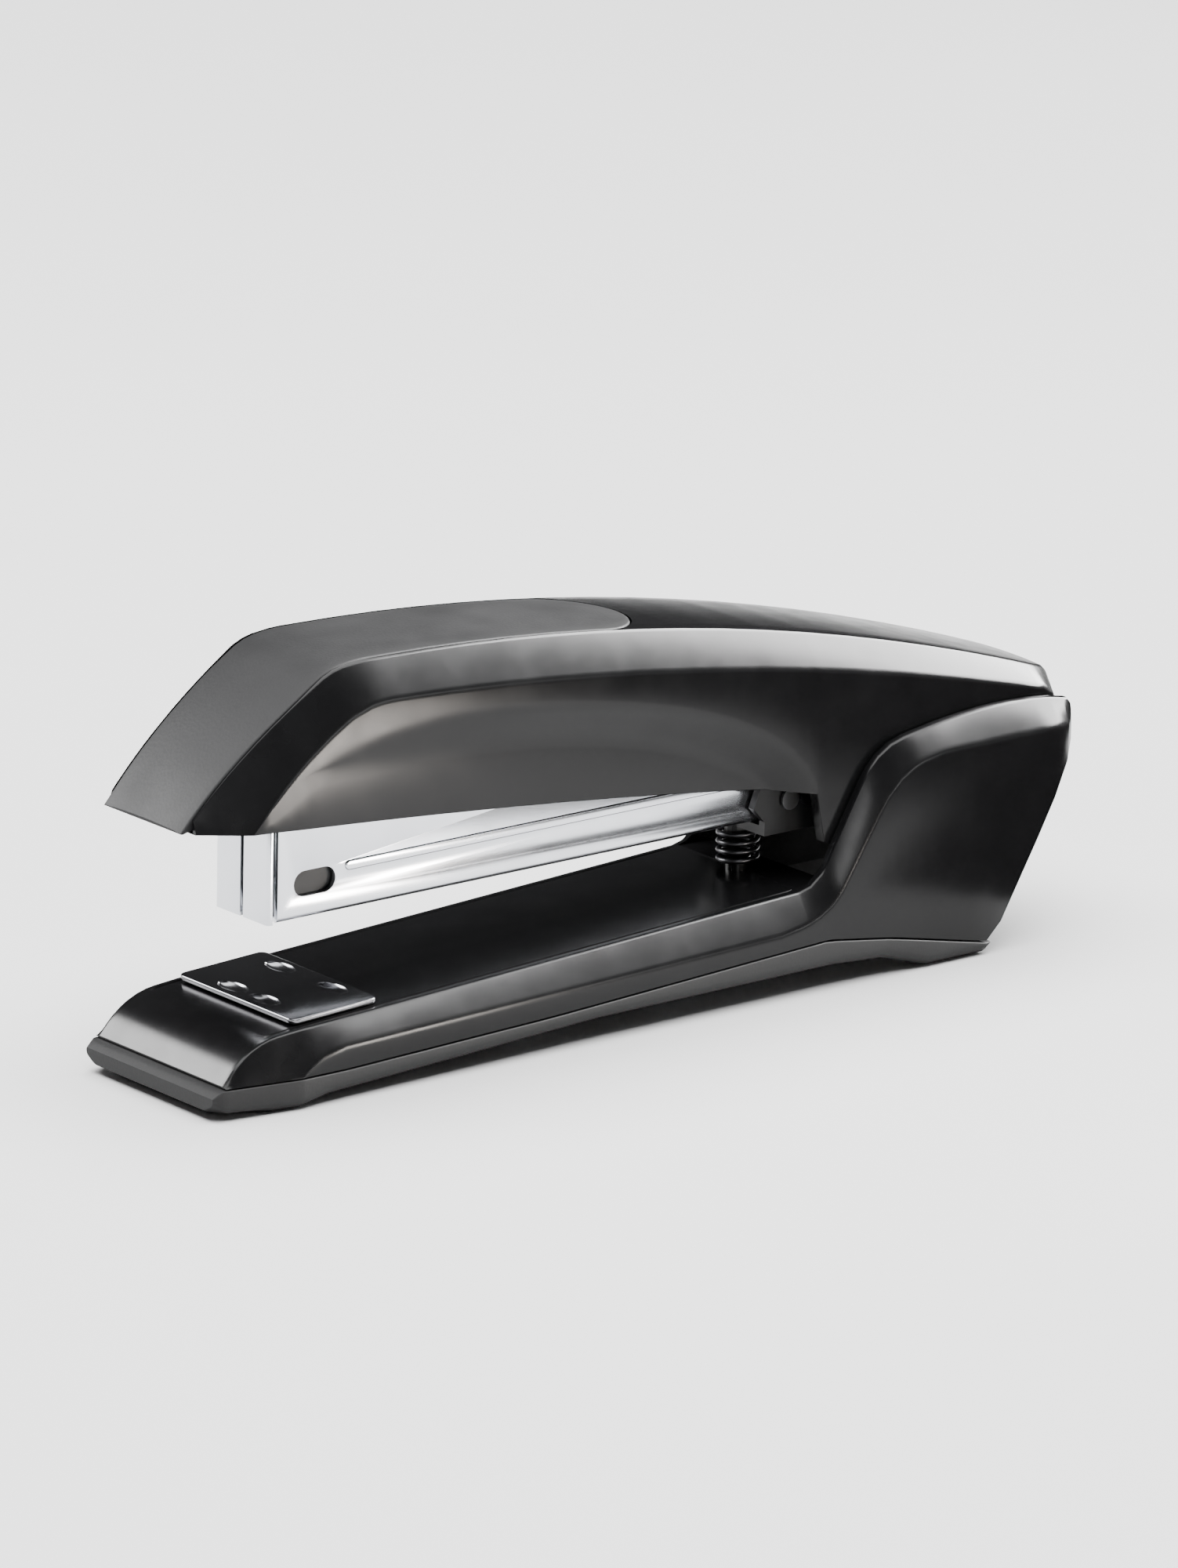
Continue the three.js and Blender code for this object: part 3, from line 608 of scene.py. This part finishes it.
# %% Anvil plate
ANVIL_X = -68.9
anvil_spot = Vector((ANVIL_X, 0, base_plane(ANVIL_X))) * MM
anvil_frame = Matrix.Translation(anvil_spot) @ Matrix.Rotation(-math.atan(TOP_SLOPE), 4, "Y")


def on_base_top(piece):
    piece.data.transform(anvil_frame)
    return piece


def dish(x, y):
    bpy.ops.object.select_all(action="DESELECT")
    bpy.ops.mesh.primitive_uv_sphere_add(
        segments=32, ring_count=16, radius=1 * MM, location=Vector((x, y, 1.55)) * MM,
    )
    ball = bpy.context.object
    ball.scale = (1.9, 3.9, 1)
    return settle(ball)


long_half, wide_half, corner = 9.3, 16.4, 1.5
quarters = [(1, -1, -90, 0), (1, 1, 0, 90), (-1, 1, 90, 180), (-1, -1, 180, 270)]
plate_outline = [
    point
    for sx, sy, first, last in quarters
    for point in arc(sx * (long_half - corner), sy * (wide_half - corner), corner, first, last, 6)
]
plate = drawn("anvil_face", plate_outline, "z", 0.3, 1.3)
soften(plate, 0.25, 3, 50)
for side in (-1, 1):
    cut(plate, dish(-6.2, 4.5 * side), dish(6.2, 7.4 * side))
add(plate, bar("stem", "z", 2.6, -10.4, 0.8))
groove = cut(bar("groove", "z", 4, -9.9, -9.3), bar("core", "z", 1.9, -10, -9.2))
cut(plate, groove)
stands_for(on_base_top(plate), "anvil_plate", "anvil", 35)

# %% [markdown]
# ## Springs
# Each coil is one small round section wound up with a screw, as the wire is wound on a mandrel.

# %% Coils
def coil(name, outer, wire, turns, length):
    bpy.ops.object.select_all(action="DESELECT")
    bpy.ops.mesh.primitive_circle_add(
        vertices=12, radius=wire * MM, location=((outer - wire) * MM, 0, wire * MM),
        rotation=(math.pi / 2, 0, 0),
    )
    piece = settle(bpy.context.object)
    piece.name = name
    winding = piece.modifiers.new("winding", "SCREW")
    winding.screw_offset = (length - 2 * wire) / turns * MM
    winding.iterations = turns
    winding.steps = winding.render_steps = 28
    winding.use_merge_vertices = False
    apply_modifiers(piece)
    return close_up(piece)


def stood(piece, node, axis="z"):
    """Set a coil in the middle of its node's box."""
    if axis == "x":
        piece.data.transform(Matrix.Rotation(math.pi / 2, 4, "Y"))
    spots = [vertex.co for vertex in piece.data.vertices]
    centre = Vector([(min(p[k] for p in spots) + max(p[k] for p in spots)) / 2 for k in range(3)])
    piece.data.transform(Matrix.Translation(middle(node) * MM - centre))
    return piece


return_coil = stood(coil("return_coil", 4, 0.5, 4, 7.4), "return_spring")
stands_for(return_coil, "return_spring", "base", 60)
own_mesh(return_coil)

handle_coil = stood(coil("arm_coil", 4, 0.55, 5, 12.6), "handle_spring")
stands_for(handle_coil, "handle_spring", "handle", 60)

pusher_low, pusher_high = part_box("pusher_spring")
travel, stretch = 92 * MM, pusher_high.x - pusher_low.x
pusher_coil = stood(coil("pusher_coil", 2.1, 0.3, 26, stretch / MM), "pusher_spring", "x")
stands_for(pusher_coil, "pusher_spring", "magazine", 60)
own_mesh(pusher_coil)

button_coil = coil("button_coil", 5.4, 0.4, 3, 4)
button_coil.data.transform(Matrix.Translation((0, 0, -6.7 * MM)))
on_base_top(button_coil)
stands_for(button_coil, "anvil_spring", "base", 60)
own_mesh(button_coil)

# %% [markdown]
# ## Finishes
# Nothing on a used stapler is one flat colour. Mouldings carry a fine spark-eroded grain, faint flow clouds
# and the greasy smudges of hands; plated sheet has long drawing lines and small dull patches. Those effects
# are built once as node groups, and each material mixes them in its own measure.

# %% Node groups
def new_group(name, inputs, outputs):
    group = bpy.data.node_groups.new(name, "ShaderNodeTree")
    for label, kind in inputs:
        group.interface.new_socket(name=label, in_out="INPUT", socket_type=kind)
    for label, kind in outputs:
        group.interface.new_socket(name=label, in_out="OUTPUT", socket_type=kind)
    return group, group.nodes.new("NodeGroupInput"), group.nodes.new("NodeGroupOutput")


def noise(tree, vector, scale, detail=3.0, rough=0.55):
    node = tree.nodes.new("ShaderNodeTexNoise")
    node.inputs["Scale"].default_value = scale
    node.inputs["Detail"].default_value = detail
    node.inputs["Roughness"].default_value = rough
    tree.links.new(vector, node.inputs["Vector"])
    return node.outputs[0]


def remap(tree, value, low, high, to_low, to_high):
    node = tree.nodes.new("ShaderNodeMapRange")
    for i, number in enumerate((low, high, to_low, to_high)):
        node.inputs[i + 1].default_value = number
    tree.links.new(value, node.inputs[0])
    return node.outputs[0]


def stretched(tree, vector, scale):
    node = tree.nodes.new("ShaderNodeVectorMath")
    node.operation = "MULTIPLY"
    node.inputs[1].default_value = scale
    tree.links.new(vector, node.inputs[0])
    return node.outputs[0]


VECTOR, NUMBER = "NodeSocketVector", "NodeSocketFloat"

moulding, came, went = new_group(
    "moulded surface", [("Place", VECTOR)], [("Grain", NUMBER), ("Clouds", NUMBER), ("Smudges", NUMBER)],
)
spot = came.outputs["Place"]
moulding.links.new(noise(moulding, spot, 2600, 4), went.inputs["Grain"])
moulding.links.new(remap(moulding, noise(moulding, spot, 55, 3), 0.3, 0.7, 0, 1), went.inputs["Clouds"])
smudge = noise(moulding, spot, 130, 5, 0.65)
moulding.links.new(remap(moulding, smudge, 0.42, 0.72, 0, 1), went.inputs["Smudges"])

plating, came, went = new_group("plated sheet", [("Place", VECTOR)], [("Lines", NUMBER), ("Patches", NUMBER)])
spot = came.outputs["Place"]
long_place = stretched(plating, spot, (0.03, 1, 1))
plating.links.new(noise(plating, long_place, 1800, 3), went.inputs["Lines"])
plating.links.new(remap(plating, noise(plating, spot, 70, 4), 0.35, 0.7, 0, 1), went.inputs["Patches"])

rubber, came, went = new_group("soft rubber", [("Place", VECTOR)], [("Pebble", NUMBER), ("Bloom", NUMBER)])
spot = came.outputs["Place"]
pebble = rubber.nodes.new("ShaderNodeTexVoronoi")
pebble.inputs["Scale"].default_value = 1700
rubber.links.new(spot, pebble.inputs["Vector"])
rubber.links.new(pebble.outputs["Distance"], went.inputs["Pebble"])
rubber.links.new(remap(rubber, noise(rubber, spot, 60, 4), 0.3, 0.7, 0, 1), went.inputs["Bloom"])

# %% [markdown]
# Every material below is one shader. A pair of colours is mixed by the clouds, the smudges move the
# roughness between two values, and the grain goes through a bump.

# %% Materials
def material(name, group, pattern, mask, wear, colours, roughness, bump, metallic=0.0, specular=0.5):
    """pattern drives the bump, mask mixes the two colours and wear moves the roughness."""
    made = bpy.data.materials.new(name)
    made.use_nodes = True
    tree = made.node_tree
    shader = tree.nodes["Principled BSDF"]
    where = tree.nodes.new("ShaderNodeTexCoord")
    effect = tree.nodes.new("ShaderNodeGroup")
    effect.node_tree = group
    tree.links.new(where.outputs["Object"], effect.inputs["Place"])
    mix = tree.nodes.new("ShaderNodeMix")
    mix.data_type = "RGBA"
    factor = next(s for s in mix.inputs if s.name == "Factor" and s.type == "VALUE")
    colour_a, colour_b = [s for s in mix.inputs if s.type == "RGBA"]
    colour_a.default_value, colour_b.default_value = (*colours[0], 1), (*colours[1], 1)
    tree.links.new(effect.outputs[mask], factor)
    mixed = next(s for s in mix.outputs if s.type == "RGBA")
    tree.links.new(mixed, shader.inputs["Base Color"])
    tree.links.new(remap(tree, effect.outputs[wear], 0, 1, *roughness), shader.inputs["Roughness"])
    height = tree.nodes.new("ShaderNodeBump")
    height.inputs["Strength"].default_value = bump[0]
    height.inputs["Distance"].default_value = bump[1] * MM
    tree.links.new(effect.outputs[pattern], height.inputs["Height"])
    tree.links.new(height.outputs["Normal"], shader.inputs["Normal"])
    shader.inputs["Metallic"].default_value = metallic
    shader.inputs["Specular IOR Level"].default_value = specular
    return made


FINISHES = {
    "gloss_black": material(
        "gloss black moulding", moulding, "Grain", "Clouds", "Smudges",
        ((0.0040, 0.0040, 0.0044), (0.0058, 0.0058, 0.0062)), (0.21, 0.26), (0.05, 0.01), specular=0.2,
    ),
    "soft_grey": material(
        "soft grey pad", rubber, "Pebble", "Bloom", "Bloom",
        ((0.0052, 0.0052, 0.0058), (0.0072, 0.0072, 0.0079)), (0.5, 0.6), (0.3, 0.05), specular=0.22,
    ),
    "sole_grey": material(
        "grey sole", rubber, "Pebble", "Bloom", "Bloom",
        ((0.013, 0.013, 0.0135), (0.017, 0.017, 0.0175)), (0.52, 0.64), (0.3, 0.05), specular=0.2,
    ),
    "moulded_black": material(
        "satin black moulding", moulding, "Grain", "Clouds", "Smudges",
        ((0.005, 0.005, 0.0055), (0.008, 0.008, 0.0085)), (0.38, 0.46), (0.1, 0.02), specular=0.25,
    ),
    "bright_steel": material(
        "bright plated sheet", plating, "Lines", "Patches", "Patches",
        ((0.66, 0.675, 0.71), (0.60, 0.615, 0.65)), (0.17, 0.22), (0.04, 0.01), metallic=1.0,
    ),
    "spring_steel": material(
        "zinc-plated steel", plating, "Lines", "Patches", "Patches",
        ((0.15, 0.153, 0.158), (0.10, 0.102, 0.108)), (0.28, 0.38), (0.08, 0.01), metallic=1.0,
    ),
    "dark_wire": material(
        "phosphated spring wire", plating, "Lines", "Patches", "Patches",
        ((0.035, 0.035, 0.037), (0.025, 0.025, 0.027)), (0.34, 0.44), (0.08, 0.01), metallic=1.0,
    ),
    # The anvil plate is bright plated steel like the channel; its base colour is darkened here as painted
    # shade, standing in for the dark reflection on its flat top.
    "reflection_darkened_plate": material(
        "anvil plate darkened for painted reflection", plating, "Lines", "Patches", "Patches",
        ((0.17, 0.17, 0.178), (0.13, 0.131, 0.137)), (0.17, 0.21), (0.03, 0.01), metallic=1.0,
    ),
}

# %% Put the finishes on
made_pieces = {
    "gloss_black": [arm, base],
    "soft_grey": [pad],
    "sole_grey": [sole],
    "bright_steel": [channel],
    # The anvil plate takes the plated finish whose colour is darkened as painted shade.
    "reflection_darkened_plate": [plate],
    "dark_wire": [return_coil, handle_coil, pusher_coil, button_coil],
}
cad_slots = {
    "moulded_black": ["anvil_button", "magazine_carrier", "pusher"],
    "spring_steel": [
        "hinge_pin", "sole_screw_1", "sole_screw_2", "sole_screw_3", "sole_screw_4", "anvil_clip",
        "staple_rail",
        "pusher_rod", "rod_clip", "channel_rivet_1", "channel_rivet_2", "driver_arm", "driver_blade",
        "driver_screw_1", "driver_screw_2",
    ],
}
for slot, pieces in made_pieces.items():
    for piece in pieces:
        piece.data.materials.clear()
        piece.data.materials.append(FINISHES[slot])
for slot, nodes in cad_slots.items():
    for node in nodes:
        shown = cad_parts[node]
        shown.data.materials.clear()
        shown.data.materials.append(FINISHES[slot])
finished = [*sum(made_pieces.values(), []), *sum(cad_slots.values(), [])]
print("finished", len(finished), "pieces")

# %% [markdown]
# ## Floor, light and camera
# The floor is pale and one broad light overhead lights it. The sky is dim, because gloss black is drawn by
# what it mirrors: an even white sky turns it all grey. So each box light stands where one face of the stapler
# mirrors it, and shows in reflections only. Two dark felt cards do the opposite for the sides.

# %% Floor
bpy.ops.object.select_all(action="DESELECT")
bpy.ops.mesh.primitive_plane_add(size=6, location=(0, 0, -0.0002))
floor = bpy.context.object
floor.name = "floor"
paper = bpy.data.materials.new("white paper")
paper.use_nodes = True
tree = paper.node_tree
where = tree.nodes.new("ShaderNodeTexCoord")
shade = remap(tree, noise(tree, where.outputs["Object"], 3, 2), 0.3, 0.7, 0.86, 0.9)
tree.links.new(shade, tree.nodes["Principled BSDF"].inputs["Base Color"])
tree.nodes["Principled BSDF"].inputs["Roughness"].default_value = 0.9
tree.nodes["Principled BSDF"].inputs["Specular IOR Level"].default_value = 0.1
floor.data.materials.append(paper)

# %% Sky and lights
world = bpy.data.worlds.new("dim sky")
bpy.context.scene.world = world
world.use_nodes = True
sky = world.node_tree.nodes["Background"]
sky.inputs["Color"].default_value = (0.95, 0.97, 1, 1)
sky.inputs["Strength"].default_value = 0.06


def soft_light(name, bearing, height, distance, wide, tall, brightness, tint=(1, 1, 1)):
    """A soft box at a bearing (0 is the tail, -90 the near side) and a height angle, facing the stapler."""
    a, e = math.radians(bearing), math.radians(height)
    place = Vector((math.cos(a) * math.cos(e), math.sin(a) * math.cos(e), math.sin(e))) * distance
    bpy.ops.object.select_all(action="DESELECT")
    bpy.ops.object.light_add(type="AREA", location=place)
    lamp = bpy.context.object
    lamp.name = name
    lamp.data.shape = "RECTANGLE"
    lamp.data.size, lamp.data.size_y = wide, tall
    lamp.data.color = tint
    lamp.data.energy = brightness * math.pi * wide * tall
    lamp.rotation_euler = (-place).to_track_quat("-Z", "Y").to_euler()
    return lamp


overhead = soft_light("overhead", 0, 90, 1.7, 2.4, 2.4, 8.5)
mirrored = [
    soft_light("tail side box", -10, 31, 1.1, 0.85, 0.75, 66),
    soft_light("side box", -47, 32, 1.2, 0.36, 0.4, 2.5),
    soft_light("low strip", -66, 6, 1.1, 0.5, 0.06, 12),
    soft_light("back box", 128, 25, 1.1, 0.6, 0.5, 34),
    soft_light("front fill", -123, 18, 1.2, 0.34, 0.34, 11),
    soft_light("warm panel", -79, 6, 0.156, 0.045, 0.03, 45, (1, 0.93, 0.86)),
]
for box in mirrored:
    box.visible_diffuse = False
for lamp in (overhead, *mirrored):
    lamp.visible_camera = False

# %% Dark cards beside the stapler
felt = bpy.data.materials.new("dark felt")
felt.use_nodes = True
tree = felt.node_tree
where = tree.nodes.new("ShaderNodeTexCoord")
nap = remap(tree, noise(tree, where.outputs["Object"], 400, 2), 0.3, 0.7, 0.008, 0.014)
tree.links.new(nap, tree.nodes["Principled BSDF"].inputs["Base Color"])
tree.nodes["Principled BSDF"].inputs["Roughness"].default_value = 1
tree.nodes["Principled BSDF"].inputs["Specular IOR Level"].default_value = 0
CARD_TURN = math.radians(-39.5)
SIDEWAYS = Matrix.Rotation(CARD_TURN, 3, "Z")


def dark_card(name, across, away, wide, deep):
    """Felt on the floor, seen only in reflections: across to the view's right, and away from the viewer."""
    bpy.ops.object.select_all(action="DESELECT")
    bpy.ops.mesh.primitive_plane_add(size=1, location=SIDEWAYS @ Vector((across, away, 0.0005)))
    card = bpy.context.object
    card.name = name
    card.scale = (wide, deep, 1)
    card.rotation_euler = (0, 0, CARD_TURN)
    card.visible_camera = card.visible_diffuse = card.visible_shadow = False
    card.data.materials.append(felt)


dark_card("side_card", 0.78, -0.25, 1.2, 2.0)
dark_card("tail_card", 0.145, 0.065, 0.1, 0.12)

# %% Camera
AZIMUTH, ELEVATION, ROLL = (math.radians(a) for a in (-39.493, 16.243, 1.273))
DISTANCE, LENS = 1750.8, 229.22
aim = Vector((-0.618, 0, 39.553)) * MM
level = math.cos(ELEVATION)
back = Vector((math.sin(AZIMUTH) * level, -math.cos(AZIMUTH) * level, math.sin(ELEVATION)))
right = Vector((math.cos(AZIMUTH), math.sin(AZIMUTH), 0))
up = back.cross(right)
tilted_right = right * math.cos(ROLL) + up * math.sin(ROLL)
tilted_up = up * math.cos(ROLL) - right * math.sin(ROLL)
view = bpy.data.cameras.new("view")
camera = bpy.data.objects.new("view", view)
bpy.context.scene.collection.objects.link(camera)
view.lens, view.sensor_width = LENS, 36
view.clip_start, view.clip_end = 0.05, 30
spot = aim + back * DISTANCE * MM
camera.matrix_world = Matrix((
    (tilted_right.x, tilted_up.x, back.x, spot.x),
    (tilted_right.y, tilted_up.y, back.y, spot.y),
    (tilted_right.z, tilted_up.z, back.z, spot.z),
    (0, 0, 0, 1),
))
bpy.context.scene.camera = camera
